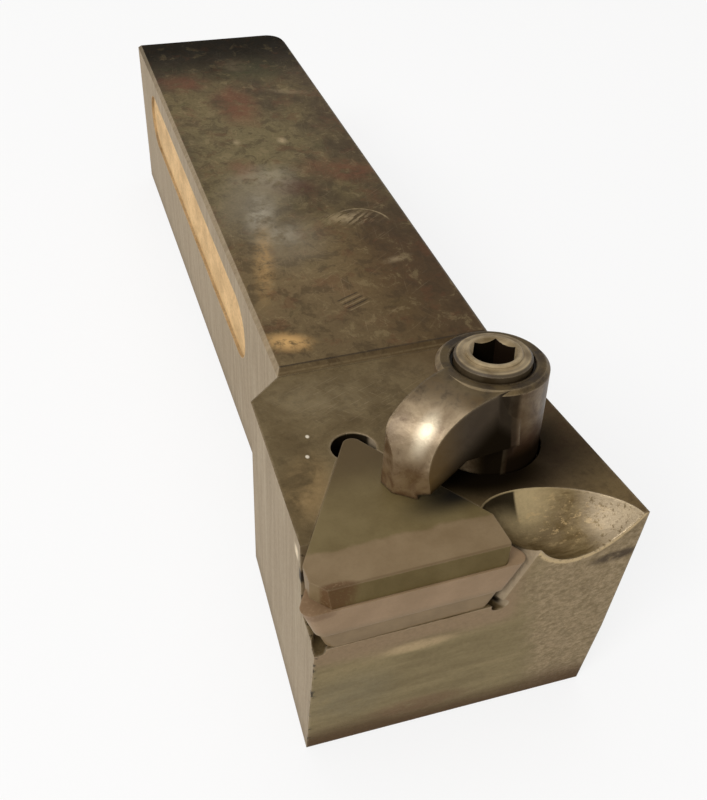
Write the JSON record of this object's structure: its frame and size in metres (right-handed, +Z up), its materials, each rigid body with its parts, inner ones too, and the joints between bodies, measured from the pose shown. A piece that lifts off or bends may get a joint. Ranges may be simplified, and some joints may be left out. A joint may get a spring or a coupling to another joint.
{
  "type": "turning tool holder",
  "caption": "Square-shank lathe tool holder whose head clamps a triangular cutting insert, shim and chipbreaker plate under a screwed, swivelling finger clamp.",
  "frame": {"origin": "centre of the plain shank's underside, halfway along the length that a tool block grips", "axes": "+Y along the shank, away from the cutting end; +Z up, out of the clamp's side; +X towards the plain side of the shank, away from the cutting corner"},
  "size_m": [0.0408, 0.1524, 0.0466],
  "materials": {
    "holder_body": "hardened steel with a worn dark brown oxide, rust mottling and bare milled faces",
    "shim": "ground carbide, stained",
    "shim_screw": "dark oxide steel",
    "insert": "ground carbide with a dull pinkish cast",
    "chipbreaker": "ground carbide, dull and stained",
    "clamp": "worn bright steel with brown staining",
    "clamp_screw": "turned alloy steel, dulled",
    "retaining_ring": "black spring steel"
  },
  "bodies": {
    "holder": {"holder_body": "holder_body", "shim": "shim", "shim_screw": "shim_screw", "insert": "insert", "chipbreaker": "chipbreaker"},
    "clamp_carrier": {"retaining_ring": "retaining_ring"},
    "clamp_arm": {"clamp": "clamp"},
    "screw": {"clamp_screw": "clamp_screw"}
  },
  "joints": [
    {"name": "clamp_lift", "type": "slide", "parent": "holder", "child": "clamp_carrier", "axis": [0, 0.1097, 0.994], "range_m": [0, 0.0032]},
    {"name": "clamp_swivel", "type": "hinge", "parent": "clamp_carrier", "child": "clamp_arm", "pos_m": [0.00483, -0.07767, 0.0334], "axis": [0, 0.1097, 0.994], "range_deg": [0, 75]},
    {"name": "screw_turn", "type": "hinge", "parent": "clamp_carrier", "child": "screw", "pos_m": [0.00483, -0.07767, 0.0334], "axis": [0, 0.1097, 0.994], "range_deg": [0, 1271.1]}
  ],
  "couplings": [
    {"joint": "screw_turn", "follows": "clamp_lift", "rad_per_m": 6927.4}
  ]
}
